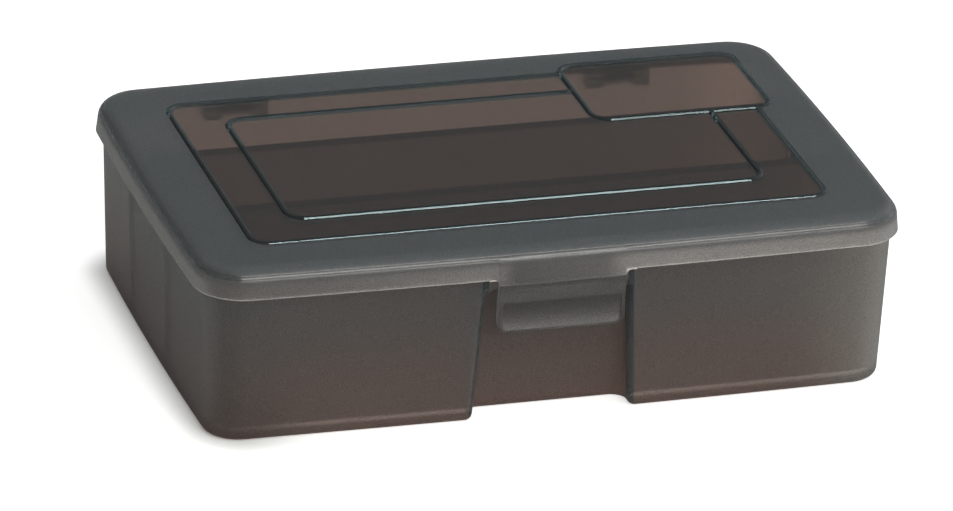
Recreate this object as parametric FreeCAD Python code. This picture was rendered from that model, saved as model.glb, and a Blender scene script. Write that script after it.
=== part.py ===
# Pocket lure box: a moulded tray with two long dividers under a hinged lid with a snap tab.
import FreeCAD, Part
import math
import os

V = FreeCAD.Vector

# All sizes are millimetres. X runs along the box, Y from the front to the hinges, Z up from the table.

# Form of the lid, measured on the lower edge of its skirt
lid_length = 150.0
lid_width = 99.0
end_bow = 0.6
side_bow = 0.8
corner_radius = 10.2
box_height = 38.5
skirt_height = 6.4
lid_draft = 0.11
shoulder_radius = 3.1
lid_top_thickness = 1.4
skirt_thickness = 1.25
lid_inner_bevel = 0.9
skirt_edge_bevel = 0.3

# Raised beads on the lid, given on their centre lines
bead_width = 1.4
bead_height = 0.45
bead_corner_radius = 3.8
outer_bead_length = 121.4
outer_bead_width = 71.8
inner_bead_length = 100.8
inner_bead_width = 51.8
inner_bead_shift = 0.6
panel_left = 25.3
panel_right = 64.2
panel_front = 10.6
panel_back = 39.8

# Tray
tray_wall = 1.5
tray_floor = 1.6
tray_draft = 0.037
tray_bottom_radius = 1.5
tray_inner_bevel = 1.2
lid_clearance = 0.3
lid_seat_gap = 0.25
lip_bevel = 0.7

# Thumb recess in the front of the tray
recess_drop = 3.1
recess_shift = -0.4
recess_top_width = 29.8
recess_foot_width = 33.0
recess_depth = 5.7
recess_corner_radius = 3.0
recess_inner_radius = 2.6
recess_edge_radius = 1.7

# Snap tab on the front of the lid
tab_width = 26.7
tab_drop = 11.8
tab_thickness = 1.15
tab_grip_thickness = 1.55
tab_corner_radius = 2.2
tab_edge_radius = 0.3
tab_proud = 0.1
tab_root_gap = 0.15
tab_ear_radius = 1.1
tab_side_radius = 0.4
tab_root_dip = 0.28
grip_drop = 5.1
grip_depth = 0.75
grip_side_rim = 0.85
grip_foot_rim = 0.7
grip_corner_radius = 1.4
grip_blend = 2.0

# Catch: a bead on the tray above a ridge on the tab
catch_length = 18.0
catch_bead_height = 0.35
catch_bead_drop = 1.9
catch_ridge_height = 0.45
catch_ridge_drop = 3.1
catch_pocket_depth = 0.5
catch_pocket_side = 0.7

# Hinges at the back
hinge_spacing = 84.0
hinge_offset = 0.4
knuckle_radius = 1.6
knuckle_skirt_gap = 0.3
lid_knuckle_length = 6.0
tray_knuckle_length = 3.5
knuckle_gap = 0.3
knuckle_wall_gap = 0.3
arm_angle = 40.0
pin_radius = 0.7
pin_press = 0.02
pin_running_gap = 0.05
pin_recess = 0.5

# Dividers and the ribs that hold their ends
divider_rear_y = 15.9
divider_front_y = -13.1
divider_thickness = 1.3
divider_head_room = 1.4
divider_fit = 0.1
divider_end_gap = 0.3
divider_seat_gap = 0.05
divider_foot_radius = 2.6
divider_top_radius = 1.0
rib_thickness = 1.0
rib_reach = 1.8
rib_drop = 1.2

# Worked out from the sizes above
half_length = lid_length / 2
half_width = lid_width / 2
skirt_foot = box_height - skirt_height
lid_under = box_height - lid_top_thickness
lip_top = lid_under - lid_seat_gap
tray_inset = skirt_thickness + lid_clearance
front_wall = -(half_width - tray_inset)
tab_face = -(half_width + tab_proud)
tab_root_foot = skirt_foot - tab_ear_radius
tab_top = tab_root_foot - tab_root_gap
tab_foot = skirt_foot - tab_drop
grip_top = skirt_foot - grip_drop
recess_top = skirt_foot - recess_drop
catch_bead_level = skirt_foot - catch_bead_drop
catch_ridge_level = skirt_foot - catch_ridge_drop
divider_top = lid_under - divider_head_room
hinge_y = half_width + hinge_offset
hinge_z = skirt_foot - knuckle_skirt_gap - knuckle_radius
overshoot = 5.0
touch = 1e-4


def unit(vector):
    return vector / vector.Length


def bow_radius(chord, bow):
    """Radius of an arc with this chord and this rise."""
    return (chord ** 2 / 4 + bow ** 2) / (2 * bow)


end_arc = bow_radius(lid_width - 2 * corner_radius, end_bow)
side_arc = bow_radius(lid_length - 2 * corner_radius, side_bow)
end_centre = V(half_length - end_arc, 0, 0)
side_centre = V(0, half_width - side_arc, 0)


def corner_centre():
    """Centre of the corner arc that runs on smoothly from the bowed end to the bowed side."""
    end_reach = end_arc - corner_radius
    side_reach = side_arc - corner_radius
    between = side_centre - end_centre
    along = (end_reach ** 2 - side_reach ** 2 + between.Length ** 2) / (2 * between.Length)
    across = math.sqrt(end_reach ** 2 - along ** 2)
    direction = unit(between)
    foot = end_centre + direction * along
    square = V(direction.y, -direction.x, 0)
    choices = [foot + square * across, foot - square * across]
    return max(choices, key=lambda point: point.x + point.y)


def thirds(arc):
    """The arc as three edges in a row, which keeps the long bowed faces even."""
    step = (arc.LastParameter - arc.FirstParameter) / 3
    ends = [arc.FirstParameter + step * count for count in range(4)]
    return [Part.Edge(arc, first, last) for first, last in zip(ends, ends[1:])]


def outline(inset, z):
    """Closed bowed rectangle at height z, moved in by inset from the lid's lower edge."""
    centre = corner_centre()
    from_end = unit(centre - end_centre)
    from_side = unit(centre - side_centre)
    end_point = end_centre + from_end * (end_arc - inset)
    side_point = side_centre + from_side * (side_arc - inset)
    corner_point = centre + unit(from_end + from_side) * (corner_radius - inset)
    end_middle = V(half_length - inset, 0, 0)
    side_middle = V(0, half_width - inset, 0)
    quadrants = [(1, 1), (-1, 1), (-1, -1), (1, -1)]

    def place(point, quadrant):
        return V(point.x * quadrant[0], point.y * quadrant[1], z)

    edges = []
    for index, here in enumerate(quadrants):
        there = quadrants[(index + 1) % 4]
        corner = [place(point, here) for point in (end_point, corner_point, side_point)]
        start, middle = side_point, side_middle
        if index % 2:
            corner.reverse()
            start, middle = end_point, end_middle
        edges.append(Part.Arc(*corner).toShape())
        edges += thirds(Part.Arc(place(start, here), place(middle, here), place(start, there)))
    return Part.Wire(edges)


def block(levels):
    """Solid with straight drafted sides through (inset, height) levels of the outline."""
    return Part.makeLoft([outline(inset, z) for inset, z in levels], True, True)


def rounded_face(corners):
    """Flat face through (point, radius) corners, each rounded by its own radius."""
    edges = []
    starts = []
    ends = []
    for index, (point, radius) in enumerate(corners):
        before = unit(corners[index - 1][0] - point)
        after = unit(corners[(index + 1) % len(corners)][0] - point)
        if radius == 0:
            starts.append(point)
            ends.append(point)
            continue
        half_angle = before.getAngle(after) / 2
        cut = radius / math.tan(half_angle)
        starts.append(point + before * cut)
        ends.append(point + after * cut)
        middle = point + unit(before + after) * (radius / math.sin(half_angle) - radius)
        edges.append((index, Part.Arc(starts[-1], middle, ends[-1]).toShape()))
    arcs = dict(edges)
    wire = []
    for index in range(len(corners)):
        if index in arcs:
            wire.append(arcs[index])
        following = (index + 1) % len(corners)
        if (starts[following] - ends[index]).Length > touch:
            wire.append(Part.LineSegment(ends[index], starts[following]).toShape())
    return Part.Face(Part.Wire(wire))


def chosen_edges(shape, test):
    """Edges whose every sampled point passes the test."""
    return [edge for edge in shape.Edges if all(test(point) for point in edge.discretize(7))]


def level_edges(shape, z):
    return chosen_edges(shape, lambda point: abs(point.z - z) < 1e-3)


def back_y(inset, x):
    """Where the bowed back of the outline lies at this x."""
    return side_centre.y + math.sqrt((side_arc - inset) ** 2 - x ** 2)


def end_x(inset, y):
    """Where the bowed right end of the outline lies at this y."""
    return end_centre.x + math.sqrt((end_arc - inset) ** 2 - y ** 2)


def tray_inset_at(z):
    """Inset of the tray's outer wall below the lid."""
    return tray_inset + tray_draft * (skirt_foot - z)


def thumb_recess(grow):
    """Solid that takes the recess out of the front; grow adds the wall for the tray's inside."""
    top_half = recess_top_width / 2 + grow
    foot_half = recess_foot_width / 2 + grow
    flare = (foot_half - top_half) / recess_top
    low = -overshoot
    low_half = foot_half + flare * overshoot
    near = front_wall - overshoot
    profile = rounded_face([
        (V(recess_shift - low_half, near, low), 0),
        (V(recess_shift + low_half, near, low), 0),
        (V(recess_shift + top_half, near, recess_top + grow), recess_corner_radius + grow),
        (V(recess_shift - top_half, near, recess_top + grow), recess_corner_radius + grow),
    ])
    reach = overshoot + recess_depth + grow
    solid = profile.extrude(V(0, reach, 0))
    far = near + reach
    rim = chosen_edges(solid, lambda point: abs(point.y - far) < touch)
    rim = [edge for edge in rim if edge.BoundBox.ZMax > low + touch]
    solid = solid.makeFillet(recess_inner_radius + grow, rim)
    solid.rotate(V(0, front_wall, skirt_foot), V(1, 0, 0), math.degrees(math.atan(tray_draft)))
    return solid


def round_recess_rim(solid, grow, radius):
    """Round the edge where the recess leaves the front wall; grow is the wall, on the inside."""
    half = recess_foot_width / 2 + grow + radius
    foot = solid.BoundBox.ZMin

    def on_rim(point):
        wall = -back_y(tray_inset_at(point.z) + grow, point.x)
        return abs(point.x - recess_shift) < half and abs(point.y - wall) < 0.01 and point.z < recess_top + grow + touch

    rim = [edge for edge in chosen_edges(solid, on_rim) if edge.BoundBox.ZMax > foot + touch]
    return solid.makeFillet(radius, rim)


def tray_outside():
    shoulder = lip_top - lip_bevel
    lip_inset = tray_inset + lid_draft * (shoulder - skirt_foot)
    solid = block([
        (tray_inset_at(0), 0),
        (tray_inset, skirt_foot),
        (lip_inset, shoulder),
        (lip_inset + lip_bevel, lip_top),
    ])
    solid = round_recess_rim(solid.cut(thumb_recess(0)), 0, recess_edge_radius)
    return solid.makeFillet(tray_bottom_radius, level_edges(solid, 0))


def tray_inside():
    high = lip_top + overshoot
    low = tray_floor + tray_inner_bevel
    solid = block([
        (tray_inset_at(low) + tray_wall + tray_inner_bevel, tray_floor),
        (tray_inset_at(low) + tray_wall, low),
        (tray_inset_at(high) + tray_wall, high),
    ])
    return solid.cut(thumb_recess(tray_wall))


def divider_ribs(y):
    """Pairs of upright ribs on both end walls, with a slot between them for one divider."""
    low = tray_floor - tray_floor / 2
    high = divider_top - rib_drop
    ribs = []
    for side in (-1, 1):
        middle = y + side * (divider_thickness / 2 + divider_fit + rib_thickness / 2)
        low_x = end_x(tray_inset_at(low) + tray_wall, middle)
        high_x = end_x(tray_inset_at(high) + tray_wall, middle)
        root = tray_wall / 2
        near = middle - rib_thickness / 2
        face = rounded_face([
            (V(low_x - rib_reach, near, low), 0),
            (V(low_x + root, near, low), 0),
            (V(high_x + root, near, high), 0),
            (V(high_x - rib_reach, near, high), rib_thickness),
        ])
        rib = face.extrude(V(0, rib_thickness, 0))
        ribs += [rib, rib.mirror(V(0, 0, 0), V(1, 0, 0))]
    return ribs


def divider(y):
    """Upright plate that slides down between the ribs and rests on the floor."""
    low = tray_floor + divider_seat_gap
    gap = tray_wall + divider_end_gap
    low_x = end_x(tray_inset_at(low) + gap, y)
    high_x = end_x(tray_inset_at(divider_top) + gap, y)
    near = y - divider_thickness / 2
    face = rounded_face([
        (V(-low_x, near, low), divider_foot_radius),
        (V(low_x, near, low), divider_foot_radius),
        (V(high_x, near, divider_top), divider_top_radius),
        (V(-high_x, near, divider_top), divider_top_radius),
    ])
    return face.extrude(V(0, divider_thickness, 0))


def on_circle(angle):
    """Point on a knuckle's round, seen from the right end of the box."""
    turn = math.radians(angle)
    return V(0, hinge_y + knuckle_radius * math.cos(turn), hinge_z + knuckle_radius * math.sin(turn))


def line_meets(angle, y):
    """Height at which the knuckle's tangent at this angle reaches y."""
    start = on_circle(angle)
    turn = math.radians(angle)
    return start.z + (start.y - y) / math.tan(turn)


def knuckle(x, length, web):
    """Round knuckle with a web back to the wall it grows from."""
    start = V(x - length / 2, 0, 0)
    round_part = Part.makeCylinder(knuckle_radius, length, V(start.x, hinge_y, hinge_z), V(1, 0, 0))
    face = Part.Face(Part.makePolygon([point + start for point in web + web[:1]]))
    return round_part.fuse(face.extrude(V(length, 0, 0)))


def tray_knuckle(x):
    root = back_y(tray_inset_at(hinge_z), x) - tray_wall / 2
    return knuckle(x, tray_knuckle_length, [
        V(0, root, hinge_z + knuckle_radius),
        V(0, hinge_y, hinge_z + knuckle_radius),
        V(0, hinge_y, hinge_z - knuckle_radius),
        V(0, root, hinge_z - knuckle_radius),
    ])


def lid_knuckle(x):
    near = back_y(tray_inset, x) + knuckle_wall_gap
    outer = back_y(0, x)
    head = line_meets(arm_angle, outer)
    return knuckle(x, lid_knuckle_length, [
        V(0, near, hinge_z),
        V(0, hinge_y, hinge_z),
        on_circle(arm_angle),
        V(0, outer, head),
        V(0, outer - skirt_thickness / 2, head),
        V(0, near, skirt_foot + skirt_edge_bevel + knuckle_gap),
    ])


def hinge_bore(x, radius):
    length = lid_knuckle_length + 2 * (knuckle_gap + tray_knuckle_length) + 2 * overshoot
    return Part.makeCylinder(radius, length, V(x - length / 2, hinge_y, hinge_z), V(1, 0, 0))


def hinge_pin(x):
    length = lid_knuckle_length + 2 * (knuckle_gap + tray_knuckle_length) - 2 * pin_recess
    return Part.makeCylinder(pin_radius, length, V(x - length / 2, hinge_y, hinge_z), V(1, 0, 0))


def catch_pocket():
    """Shallow pocket in the tray's front that makes room for the catch behind the tab."""
    half = tab_width / 2 + catch_pocket_side
    low = recess_top - overshoot
    high = skirt_foot + knuckle_gap
    depth = V(0, overshoot + catch_pocket_depth, 0)
    start = V(-half, front_wall - overshoot, low)
    return Part.makeBox(2 * half, depth.y, high - low, start)


def half_round_bar(height, y, z):
    """Bar along X with a round nose, half sunk in the wall that carries it."""
    return Part.makeCylinder(height, catch_length, V(-catch_length / 2, y, z), V(1, 0, 0))


def tray():
    solid = tray_outside().cut(tray_inside())
    solid = solid.cut(catch_pocket())
    solid = solid.fuse(half_round_bar(catch_bead_height, front_wall + catch_pocket_depth, catch_bead_level))
    ribs = divider_ribs(divider_rear_y) + divider_ribs(divider_front_y)
    solid = solid.fuse(ribs)
    step = (lid_knuckle_length + tray_knuckle_length) / 2 + knuckle_gap
    for station in (-hinge_spacing / 2, hinge_spacing / 2):
        solid = solid.fuse([tray_knuckle(station - step), tray_knuckle(station + step)])
        solid = solid.cut(hinge_bore(station, pin_radius - pin_press))
    return solid.removeSplitter()


def bead(path):
    """Raised line with an arched back on the lid's top, along a path of edges on its surface."""
    radius = (bead_width ** 2 / 4 + bead_height ** 2) / (2 * bead_height)
    sunk = path.translated(V(0, 0, bead_height - radius))
    start = sunk.OrderedEdges[0]
    point = start.valueAt(start.FirstParameter)
    along = start.tangentAt(start.FirstParameter)
    across = along.cross(V(0, 0, 1))
    reach = math.asin(bead_width / 2 / radius)
    turns = [reach * share for share in (-1, -0.6, -0.2, 0.2, 0.6, 1)]
    arch = [point + (across * math.sin(turn) + V(0, 0, math.cos(turn))) * radius for turn in turns]
    section = Part.makePolygon([point] + arch + [point])
    return sunk.makePipeShell([section], True, False)


def rounded_path(points):
    """Wire on the lid's top through the points, with the bead's corner radius at each turn."""
    edges = []
    last = points[0]
    for before, corner, after in zip(points, points[1:], points[2:]):
        towards_before = unit(before - corner)
        towards_after = unit(after - corner)
        into = corner + towards_before * bead_corner_radius
        out = corner + towards_after * bead_corner_radius
        middle = corner + (towards_before + towards_after) * bead_corner_radius * (1 - math.sqrt(0.5))
        edges.append(Part.LineSegment(last, into).toShape())
        edges.append(Part.Arc(into, middle, out).toShape())
        last = out
    edges.append(Part.LineSegment(last, points[-1]).toShape())
    return Part.Wire(edges)


def top_point(x, y):
    return V(x, y, box_height)


def lid_beads():
    """Two open rectangles that stop at the closed outline of the corner panel."""
    panel = rounded_path([
        top_point(panel_right, (panel_front + panel_back) / 2),
        top_point(panel_right, panel_back),
        top_point(panel_left, panel_back),
        top_point(panel_left, panel_front),
        top_point(panel_right, panel_front),
        top_point(panel_right, (panel_front + panel_back) / 2),
    ])
    beads = [bead(panel)]
    for length, width, shift in (
        (outer_bead_length, outer_bead_width, 0),
        (inner_bead_length, inner_bead_width, inner_bead_shift),
    ):
        beads.append(bead(rounded_path([
            top_point(length / 2, panel_front),
            top_point(length / 2, shift - width / 2),
            top_point(-length / 2, shift - width / 2),
            top_point(-length / 2, shift + width / 2),
            top_point(panel_left, shift + width / 2),
        ])))
    return beads


def tab_root():
    """Plate that follows the skirt from the shoulder to the hinge line of the tab, with rounded ears."""
    half = tab_width / 2
    inner = tab_face + tab_thickness
    lean = unit(V(0, lid_draft, 1))
    outward = V(0, -lean.z, lean.y)
    height = box_height - shoulder_radius * (1 - outward.z) - tab_root_dip
    start = V(0, tab_face + lid_draft * (height - skirt_foot), height)
    turn = start - outward * shoulder_radius
    middle = turn + unit(outward + V(0, 0, 1)) * shoulder_radius
    end = turn + V(0, 0, shoulder_radius)
    corners = [
        end,
        turn,
        V(0, inner, turn.z),
        V(0, inner, tab_root_foot),
        V(0, tab_face, tab_root_foot),
        V(0, tab_face, skirt_foot),
        start,
    ]
    sides = [Part.LineSegment(first, last).toShape() for first, last in zip(corners, corners[1:])]
    side = Part.Face(Part.Wire([Part.Arc(start, middle, end).toShape()] + sides))
    plan = rounded_face([
        (V(-half, tab_face, tab_root_foot), tab_side_radius),
        (V(half, tab_face, tab_root_foot), tab_side_radius),
        (V(half, turn.y, tab_root_foot), 0),
        (V(-half, turn.y, tab_root_foot), 0),
    ])
    plate = plan.extrude(V(0, 0, end.z - tab_root_foot))
    plate = plate.common(side.translated(V(-half, 0, 0)).extrude(V(tab_width, 0, 0)))
    ear = tab_ear_radius
    ears = rounded_face([
        (V(-half - 2 * ear, tab_face, skirt_foot + ear), 0),
        (V(-half - 2 * ear, tab_face, skirt_foot), 0),
        (V(-half, tab_face, skirt_foot), ear),
        (V(-half, tab_face, tab_root_foot), 0),
        (V(half, tab_face, tab_root_foot), 0),
        (V(half, tab_face, skirt_foot), ear),
        (V(half + 2 * ear, tab_face, skirt_foot), 0),
        (V(half + 2 * ear, tab_face, skirt_foot + ear), 0),
    ])
    return plate.fuse(ears.translated(V(0, tab_proud, 0)).extrude(V(0, tab_thickness - tab_proud, 0)))


def lid_hollow():
    """The lid's inside, open below, with a bevel where the skirt meets the top."""
    low = skirt_foot - overshoot
    shoulder = lid_under - lid_inner_bevel
    inset = skirt_thickness + lid_draft * (shoulder - skirt_foot)
    return block([
        (skirt_thickness - lid_draft * overshoot, low),
        (inset, shoulder),
        (inset + lid_inner_bevel, lid_under),
    ])


def lid():
    solid = block([
        (skirt_edge_bevel, skirt_foot),
        (lid_draft * skirt_edge_bevel, skirt_foot + skirt_edge_bevel),
        (lid_draft * skirt_height, box_height),
    ])
    solid = solid.makeFillet(shoulder_radius, level_edges(solid, box_height))
    solid = solid.fuse(tab_root())
    solid = solid.cut(lid_hollow())
    for line in lid_beads():
        solid = solid.fuse(line)
    for station in (-hinge_spacing / 2, hinge_spacing / 2):
        solid = solid.fuse(lid_knuckle(station))
        solid = solid.cut(hinge_bore(station, pin_radius + pin_running_gap))
    return solid.removeSplitter()


def latch_tab():
    """Tongue that hangs from the lid, with a scooped grip outside and a catch ridge inside."""
    half = tab_width / 2
    plate = rounded_face([
        (V(-half, tab_face, tab_top), 0),
        (V(half, tab_face, tab_top), 0),
        (V(half, tab_face, tab_foot), tab_corner_radius),
        (V(-half, tab_face, tab_foot), tab_corner_radius),
    ])
    solid = plate.extrude(V(0, tab_grip_thickness, 0))
    thin = tab_face + tab_thickness
    thick = tab_face + tab_grip_thickness
    relief = Part.Face(Part.makePolygon([
        V(-half - overshoot, thin, tab_top + overshoot),
        V(-half - overshoot, thick + overshoot, tab_top + overshoot),
        V(-half - overshoot, thick + overshoot, grip_top),
        V(-half - overshoot, thick, grip_top),
        V(-half - overshoot, thin, grip_top + grip_blend),
        V(-half - overshoot, thin, tab_top + overshoot),
    ]))
    solid = solid.cut(relief.extrude(V(2 * (half + overshoot), 0, 0)))
    foot_edges = chosen_edges(solid, lambda point: abs(point.y - tab_face) < touch)
    foot_edges = [edge for edge in foot_edges if edge.BoundBox.ZMin < tab_top - touch]
    solid = solid.makeFillet(tab_edge_radius, foot_edges)
    solid = solid.cut(grip_scoop())
    return solid.fuse(half_round_bar(catch_ridge_height, thin, catch_ridge_level)).removeSplitter()


def grip_scoop():
    """Shallow dish for the fingertip, kept inside a rim at its sides and foot."""
    low = tab_foot + grip_foot_rim
    chord = grip_top - low
    radius = bow_radius(chord, grip_depth)
    half = tab_width / 2 - grip_side_rim
    near = tab_face - overshoot
    frame = rounded_face([
        (V(-half, near, low), grip_corner_radius),
        (V(half, near, low), grip_corner_radius),
        (V(half, near, grip_top), grip_corner_radius / 2),
        (V(-half, near, grip_top), grip_corner_radius / 2),
    ]).extrude(V(0, 2 * overshoot, 0))
    centre = V(-half, tab_face + grip_depth - radius, (low + grip_top) / 2)
    return frame.common(Part.makeCylinder(radius, 2 * half, centre, V(1, 0, 0)))


parts = {
    "base_tray": tray(),
    "lid": lid(),
    "latch_tab": latch_tab(),
    "hinge_pin_left": hinge_pin(-hinge_spacing / 2),
    "hinge_pin_right": hinge_pin(hinge_spacing / 2),
    "divider_front": divider(divider_front_y),
    "divider_rear": divider(divider_rear_y),
}

os.makedirs("parts", exist_ok=True)
for name, shape in parts.items():
    print(name, "solids", len(shape.Solids), "valid", shape.isValid(), "volume", round(shape.Volume, 1))
    shape.exportStep("parts/" + name + ".step")
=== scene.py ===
import math

import bpy
from mathutils import Matrix, Vector

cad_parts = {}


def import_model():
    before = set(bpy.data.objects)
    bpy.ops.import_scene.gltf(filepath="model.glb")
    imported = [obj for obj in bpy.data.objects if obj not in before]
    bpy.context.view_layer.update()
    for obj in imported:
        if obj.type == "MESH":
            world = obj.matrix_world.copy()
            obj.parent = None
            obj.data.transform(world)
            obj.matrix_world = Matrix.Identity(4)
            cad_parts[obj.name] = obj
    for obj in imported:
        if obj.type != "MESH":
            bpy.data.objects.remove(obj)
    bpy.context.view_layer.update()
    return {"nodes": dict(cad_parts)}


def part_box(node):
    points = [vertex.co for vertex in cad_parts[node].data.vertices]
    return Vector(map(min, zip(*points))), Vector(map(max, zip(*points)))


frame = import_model()
nodes = frame["nodes"]

# All lengths are in metres, and Z is the height above the underside.
# Centre lines of the lid's beads, and the outline of the tray's foot
OUTER = dict(centre=(0.0, 0.0), half=(0.0607, 0.0359), radius=0.0038)
INNER = dict(centre=(0.0, 0.0006), half=(0.0504, 0.0259), radius=0.0038)
CORNER = dict(centre=(0.04475, 0.0252), half=(0.01945, 0.0146), radius=0.0038)
FOOTPRINT = dict(centre=(0.0, 0.0), half=(0.0715, 0.0470), radius=0.008)

BEAD_HALF = 0.0007
BEAD_RISE = 0.00045
LID_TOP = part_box("lid")[1][2] - BEAD_RISE
SKIRT_FOOT = LID_TOP - 0.0064
DIVIDER_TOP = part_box("divider_rear")[1][2]
DIVIDER_EDGE = 0.0011
TAB_X = -0.0004
TAB_HALF = 0.0135
RECESS_HALF = 0.0165
RECESS_FLARE = 0.0016 / 0.029

# Shares of red, green and blue light that get through one wall; some are colours painted in for
# light and shade, as marked
TRAY_TOP = (0.405, 0.385, 0.365, 1.0)
TRAY_LOW = (0.42, 0.34, 0.31, 1.0)
TRAY_BEVEL = (0.47, 0.33, 0.285, 1.0)
# Painted light: the tray's right end is coloured lighter, where light comes through the end wall
PAINTED_RIGHT_END_LIGHT = (0.56, 0.51, 0.47, 1.0)
# Painted reflection: a dark teal on the glossy rounded rim of the finger recess
PAINTED_RIM_REFLECTION = (0.17, 0.22, 0.23, 1.0)
# Painted shade along the dividers' top edge
PAINTED_DIVIDER_SHADE = (0.13, 0.10, 0.09, 1.0)
FRAME = (0.255, 0.245, 0.245, 1.0)
# Painted light: the skirt is coloured lighter and warmer than the frame on top
PAINTED_SKIRT_LIGHT = (0.54, 0.49, 0.465, 1.0)
# Painted highlight along the foot of the skirt
PAINTED_FOOT_HIGHLIGHT = (0.90, 0.84, 0.80, 1.0)
PANEL = (0.42, 0.285, 0.235, 1.0)
# Painted shade: the beads are coloured dark teal
PAINTED_BEAD_SHADE = (0.10, 0.15, 0.16, 1.0)

# Roughness, and the share of light that goes through instead of scattering at the skin
FROSTED = 0.42
FROSTED_LID = 0.40
DIVIDER_FROST = 0.2
POLISHED = 0.05
SHOULDER_GLOSS = 0.16
RIM_GLOSS = 0.2
TRAY_SKIN = 0.92
TAB_SKIN = 0.95
FRAME_SKIN = 0.82
ROOT_SKIN = 0.88
SKIRT_SKIN = 0.70

# Noise scales, and the depth of the frosting
CLOUD_SCALE = 60.0
FROST_SCALE = 3400.0
SPECKLE_SCALE = 4200.0
FROST_DEPTH = 0.00014

FLOOR_REACH = 3.0
FLOOR_DROP = 0.00005
FLOOR_PAINT = (0.92, 0.84, 0.79, 1.0)
FLOOR_IN_GLOSS = (0.35, 0.35, 0.35, 1.0)
FLOOR_GLOW = 0.66
SKY = (0.84, 0.96, 1.0, 1.0)
PHOTO_WIDTH = 953
SENSOR_WIDTH = 36.0


class Nodes:
    """Writes the node tree of a material or world; a value is a socket or a number."""

    def __init__(self, owner, output):
        owner.use_nodes = True
        self.owner = owner
        self.tree = owner.node_tree
        self.tree.nodes.clear()
        self.output = self.add(output)

    def add(self, kind, **settings):
        node = self.tree.nodes.new(kind)
        for key, value in settings.items():
            setattr(node, key, value)
        return node

    def put(self, value, socket):
        if isinstance(value, bpy.types.NodeSocket):
            self.tree.links.new(value, socket)
        else:
            socket.default_value = value

    def math(self, operation, *values):
        node = self.add("ShaderNodeMath", operation=operation)
        for value, socket in zip(values, node.inputs):
            self.put(value, socket)
        return node.outputs[0]

    def plus(self, first, second):
        return self.math("ADD", first, second)

    def minus(self, first, second):
        return self.math("SUBTRACT", first, second)

    def times(self, first, second):
        return self.math("MULTIPLY", first, second)

    def size(self, value):
        return self.math("ABSOLUTE", value)

    def least(self, first, second):
        return self.math("MINIMUM", first, second)

    def most(self, first, second):
        return self.math("MAXIMUM", first, second)

    def vector(self, operation, *values):
        node = self.add("ShaderNodeVectorMath", operation=operation)
        for value, socket in zip(values, node.inputs):
            self.put(value, socket)
        return node.outputs["Value" if operation == "LENGTH" else "Vector"]

    def ramp(self, value, low, high, out_low=0.0, out_high=1.0):
        node = self.add("ShaderNodeMapRange", interpolation_type="SMOOTHSTEP")
        for socket, number in zip(node.inputs, (value, low, high, out_low, out_high)):
            self.put(number, socket)
        return node.outputs[0]

    def band(self, value, start, full, fade, end):
        """1 from full to fade, and 0 before start and after end."""
        return self.times(self.ramp(value, start, full), self.ramp(value, end, fade))

    def mix(self, share, first, second, blend="MIX"):
        node = self.add("ShaderNodeMix", data_type="RGBA", blend_type=blend)
        self.put(share, node.inputs[0])
        self.put(first, node.inputs[6])
        self.put(second, node.inputs[7])
        return node.outputs[2]

    def noise(self, place, scale, detail=2.0, roughness=0.5):
        node = self.add("ShaderNodeTexNoise")
        self.put(place, node.inputs["Vector"])
        node.inputs["Scale"].default_value = scale
        node.inputs["Detail"].default_value = detail
        node.inputs["Roughness"].default_value = roughness
        return node.outputs[0]

    def place(self, kind="Object"):
        return self.add("ShaderNodeTexCoord").outputs[kind]

    def axes(self, place):
        split = self.add("ShaderNodeSeparateXYZ")
        self.put(place, split.inputs[0])
        return tuple(split.outputs)

    def rectangle(self, place, centre, half, radius):
        """Signed distance to a rounded rectangle, negative inside."""
        offset = self.vector("SUBTRACT", place, (centre[0], centre[1], 0.0))
        flat = self.vector("MULTIPLY", offset, (1.0, 1.0, 0.0))
        folded = self.vector("ABSOLUTE", flat)
        past = self.vector("SUBTRACT", folded, (half[0] - radius, half[1] - radius, 0.0))
        outside = self.vector("MAXIMUM", past, (0.0, 0.0, 0.0))
        return self.minus(self.vector("LENGTH", outside), radius)

    def bump(self, height, distance):
        node = self.add("ShaderNodeBump")
        node.inputs["Strength"].default_value = 1.0
        node.inputs["Distance"].default_value = distance
        self.put(height, node.inputs["Height"])
        return node.outputs[0]

    def principled(self, **values):
        node = self.add("ShaderNodeBsdfPrincipled")
        for key, value in values.items():
            self.put(value, node.inputs[key.replace("_", " ")])
        self.surface(node)

    def surface(self, shader):
        self.tree.links.new(shader.outputs[0], self.output.inputs[0])


def material_nodes(name):
    return Nodes(bpy.data.materials.new(name), "ShaderNodeOutputMaterial")


def frosted(n, place, frost):
    """Roughness and height of a finely frosted mould surface."""
    cloud = n.noise(place, CLOUD_SCALE, 3.0)
    rough = n.plus(frost - 0.04, n.times(cloud, 0.08))
    return rough, n.noise(place, FROST_SCALE, 2.0, 0.6)


def smoke_plastic(n, colour, rough, skin, height, speckled=1.0):
    """Translucent plastic whose tint is finely speckled, by the share given."""
    speckle = n.ramp(n.noise(n.place(), SPECKLE_SCALE, 1.0), 0.3, 0.7, 0.74, 1.26)
    n.principled(
        Base_Color=n.mix(speckled, colour, speckle, "MULTIPLY"),
        Roughness=rough,
        IOR=1.5,
        Transmission_Weight=skin,
        Normal=n.bump(height, FROST_DEPTH),
    )
    return n.owner


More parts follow.
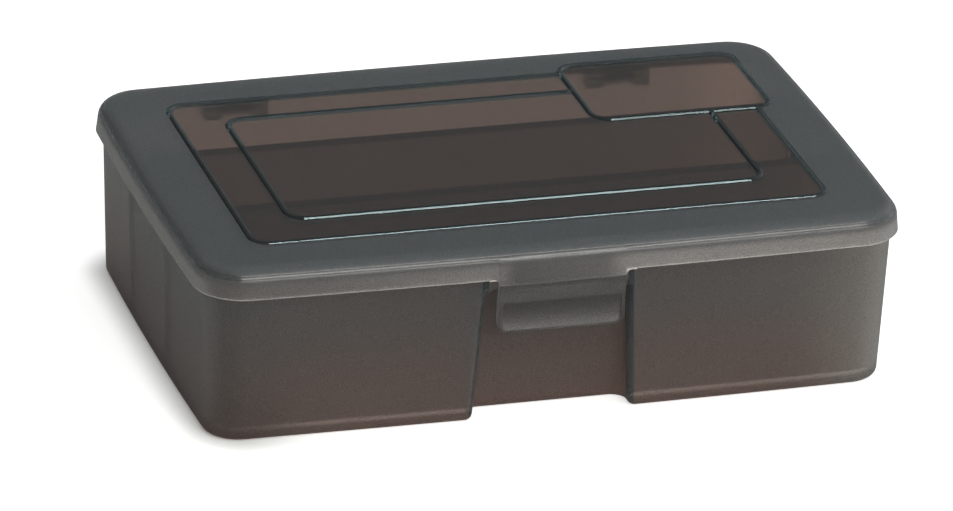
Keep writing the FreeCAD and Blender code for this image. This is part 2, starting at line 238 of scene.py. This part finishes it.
def smoke(name, frost=FROSTED, skin=TRAY_SKIN, dark_from=1.0):
    """Frosted smoke plastic, warmer low down, with painted light at the right end and painted
    shade above dark_from.
    """
    n = material_nodes(name)
    place = n.place()
    rough, height = frosted(n, place, frost)
    x, y, z = n.axes(place)
    colour = n.mix(n.ramp(z, 0.002, 0.032), TRAY_LOW, TRAY_TOP)
    colour = n.mix(n.ramp(z, 0.0030, 0.0016), colour, TRAY_BEVEL)
    # Painted light at the right end, where light comes through the end wall
    colour = n.mix(n.ramp(x, 0.050, 0.072), colour, PAINTED_RIGHT_END_LIGHT)
    # Painted shade along the top edge, above dark_from
    colour = n.mix(n.ramp(z, dark_from, dark_from + 0.0003), colour, PAINTED_DIVIDER_SHADE)

    # The rounded rim at the sides of the finger recess, only on the tray's front wall: glossier,
    # and coloured with a painted dark teal reflection
    recess_side = n.math("MULTIPLY_ADD", z, -RECESS_FLARE, RECESS_HALF)
    past_side = n.minus(n.size(n.minus(x, TAB_X)), recess_side)
    rim = n.times(n.band(past_side, -0.0003, 0.0, 0.0009, 0.0013), n.ramp(y, -0.0442, -0.0450))
    colour = n.mix(rim, colour, PAINTED_RIM_REFLECTION)
    rough = n.minus(rough, n.times(rim, RIM_GLOSS))
    return smoke_plastic(n, colour, rough, skin, height)


def smoke_lid():
    """The same plastic, with a frosted frame and skirt and polished beads and panels; the skirt
    is painted lighter than the frame, its foot has a painted highlight and the beads have
    painted shade.
    """
    n = material_nodes("smoke_lid")
    place = n.place()
    rough, height = frosted(n, place, FROSTED_LID)
    x, _, z = n.axes(place)

    # Beads, and everything that they enclose; inside the corner panel the others end
    outer, inner, corner = (n.rectangle(place, **line) for line in (OUTER, INNER, CORNER))
    clear = n.ramp(n.least(outer, corner), BEAD_HALF + 0.0002, BEAD_HALF - 0.0001)
    frosted_share = n.minus(1.0, clear)
    frames = n.most(n.least(n.size(outer), n.size(inner)), n.times(corner, -1.0))
    bead = n.ramp(n.least(n.size(corner), frames), BEAD_HALF + 0.0001, BEAD_HALF - 0.0001)

    # The shoulder between frame and skirt is smoother and catches the lamp in a line
    shoulder = n.band(z, LID_TOP - 0.0026, LID_TOP - 0.0020, LID_TOP - 0.0014, LID_TOP - 0.0010)
    rough = n.minus(rough, n.times(shoulder, SHOULDER_GLOSS))
    rough = n.plus(n.times(rough, frosted_share), n.times(clear, POLISHED))
    height = n.times(height, n.minus(1.0, n.most(clear, shoulder)))

    # The skirt scatters less at the tab's root and to the left, and more along its foot, where a
    # painted highlight runs
    side = n.ramp(z, 0.0365, 0.0345)
    off_tab = n.size(n.minus(x, TAB_X))
    foot = n.times(n.ramp(z, SKIRT_FOOT + 0.0005, SKIRT_FOOT + 0.0002),
                   n.ramp(off_tab, TAB_HALF, TAB_HALF + 0.0005))
    near_tab = n.ramp(off_tab, 0.0085, 0.0150, ROOT_SKIN, SKIRT_SKIN)
    to_left = n.times(n.ramp(x, -0.065, 0.02, 0.20, 0.0), n.ramp(x, -0.0742, -0.0715, -0.2, 1.0))
    skirt_skin = n.plus(near_tab, n.minus(to_left, n.times(foot, 0.3)))
    skin = n.plus(n.times(side, skirt_skin), n.times(n.minus(1.0, side), FRAME_SKIN))

    # The skirt is painted lighter than the frame, with a painted highlight along its foot
    colour = n.mix(side, FRAME, n.mix(foot, PAINTED_SKIRT_LIGHT, PAINTED_FOOT_HIGHLIGHT))
    # Painted dark teal shade on the beads
    colour = n.mix(bead, n.mix(clear, colour, PANEL), PAINTED_BEAD_SHADE)
    return smoke_plastic(n, colour, rough, n.most(skin, clear), height, frosted_share)


def wire_steel():
    """Drawn wire, with fine lines along it."""
    n = material_nodes("pin_wire")
    drawn = n.noise(n.vector("MULTIPLY", n.place(), (60.0, 2400.0, 2400.0)), 1.0)
    n.principled(
        Base_Color=n.mix(drawn, (0.50, 0.50, 0.49, 1.0), (0.62, 0.62, 0.61, 1.0)),
        Metallic=1.0,
        Roughness=n.plus(0.26, n.times(drawn, 0.12)),
    )
    return n.owner


def dress(material, *names):
    for name in names:
        nodes[name].data.materials.clear()
        nodes[name].data.materials.append(material)


dress(smoke("smoke_tray"), "base_tray")
dress(smoke_lid(), "lid")
dress(smoke("smoke_tab", skin=TAB_SKIN), "latch_tab")
dress(smoke("smoke_divider", DIVIDER_FROST, dark_from=DIVIDER_TOP - DIVIDER_EDGE),
      "divider_front", "divider_rear")
dress(wire_steel(), "hinge_pin_left", "hinge_pin_right")


def put_object(name, data, place, axes=((1, 0, 0), (0, 1, 0), (0, 0, 1))):
    """Link a new object at a place, with its own axes along the given directions."""
    item = bpy.data.objects.new(name, data)
    item.matrix_world = Matrix.Translation(place) @ Matrix(axes).transposed().to_4x4()
    bpy.context.scene.collection.objects.link(item)
    return item


def floor():
    """White floor: it glows for the camera and through the plastic, with a painted shadow beside
    the tray, strongest at its left side.
    """
    mesh = bpy.data.meshes.new("floor")
    r = FLOOR_REACH
    mesh.from_pydata([(-r, -r, 0), (r, -r, 0), (r, r, 0), (-r, r, 0)], [], [(0, 1, 2, 3)])
    plane = put_object("floor", mesh, (0, 0, -FLOOR_DROP))

    n = material_nodes("floor")
    ray = n.add("ShaderNodeLightPath").outputs
    paint = n.add("ShaderNodeBsdfDiffuse")
    n.put(n.mix(ray["Is Glossy Ray"], FLOOR_PAINT, FLOOR_IN_GLOSS), paint.inputs["Color"])
    place = n.place()
    # Painted contact shadow: the glow is dimmed near the tray, mostly on its left
    near_tray = n.ramp(n.rectangle(place, **FOOTPRINT), 0.007, -0.001, 0.0, 0.8)
    painted_contact_shadow = n.times(near_tray, n.ramp(n.axes(place)[0], -0.045, -0.066, 0.1, 1.0))
    seen = n.most(ray["Is Camera Ray"], ray["Is Transmission Ray"])
    glow = n.add("ShaderNodeEmission")
    n.put(n.times(seen, n.times(n.minus(1.0, painted_contact_shadow), FLOOR_GLOW)), glow.inputs["Strength"])
    total = n.add("ShaderNodeAddShader")
    n.put(paint.outputs[0], total.inputs[0])
    n.put(glow.outputs[0], total.inputs[1])
    n.surface(total)
    mesh.materials.append(n.owner)


def lamp(name, place, size, power, colour):
    """Long lamp that lies along the box and points at its centre."""
    data = bpy.data.lights.new(name, "AREA")
    data.shape = "RECTANGLE"
    data.size, data.size_y = size
    data.energy = power
    data.color = colour
    back = Vector(place).normalized()
    side = (Vector((1, 0, 0)) - back * back.x).normalized()
    put_object(name, data, place, (side, back.cross(side), back))


def world():
    """Soft studio surroundings: dim near the floor, brighter overhead and to the right."""
    sky = bpy.data.worlds.new("studio")
    n = Nodes(sky, "ShaderNodeOutputWorld")
    x, _, z = n.axes(n.place("Generated"))
    light = n.add("ShaderNodeBackground")
    n.put(SKY, light.inputs["Color"])
    n.put(n.plus(n.ramp(z, 0.2, 0.8, 0.12, 0.60), n.ramp(x, 0.3, 0.95, 0.0, 0.7)),
          light.inputs["Strength"])
    n.surface(light)
    bpy.context.scene.world = sky


def camera():
    """The photo's own view, found from the outline and corners of the box in it."""
    azimuth, elevation, roll = (math.radians(v) for v in (-17.4733, 24.1139, 2.2763))
    pixels_per_mm = 4.81276
    right_shift_mm, up_shift_mm = 2.24023, -13.42636
    distance_mm = 1 / 0.000595221
    back = Vector((
        math.sin(azimuth) * math.cos(elevation),
        -math.cos(azimuth) * math.cos(elevation),
        math.sin(elevation),
    ))
    level_right = Vector((math.cos(azimuth), math.sin(azimuth), 0.0))
    level_up = back.cross(level_right)
    right = level_right * math.cos(roll) + level_up * math.sin(roll)
    up = level_up * math.cos(roll) - level_right * math.sin(roll)
    place = (right * -right_shift_mm + up * -up_shift_mm + back * distance_mm) / 1000
    data = bpy.data.cameras.new("camera")
    data.sensor_width = SENSOR_WIDTH
    data.lens = SENSOR_WIDTH * pixels_per_mm * distance_mm / PHOTO_WIDTH
    data.clip_start = 0.05
    data.clip_end = 20.0
    bpy.context.scene.camera = put_object("camera", data, place, (right, up, back))


floor()
lamp("key", (0.20, -1.20, 0.62), (1.0, 0.12), 7.0, (1.0, 0.98, 0.95))
lamp("strip", (0.33, -0.73, 0.90), (1.1, 0.07), 2.9, (0.80, 1.0, 1.0))
world()
camera()

bpy.context.scene.view_settings.view_transform = "Standard"
bpy.context.scene.cycles.max_bounces = 24
bpy.context.scene.cycles.transmission_bounces = 24
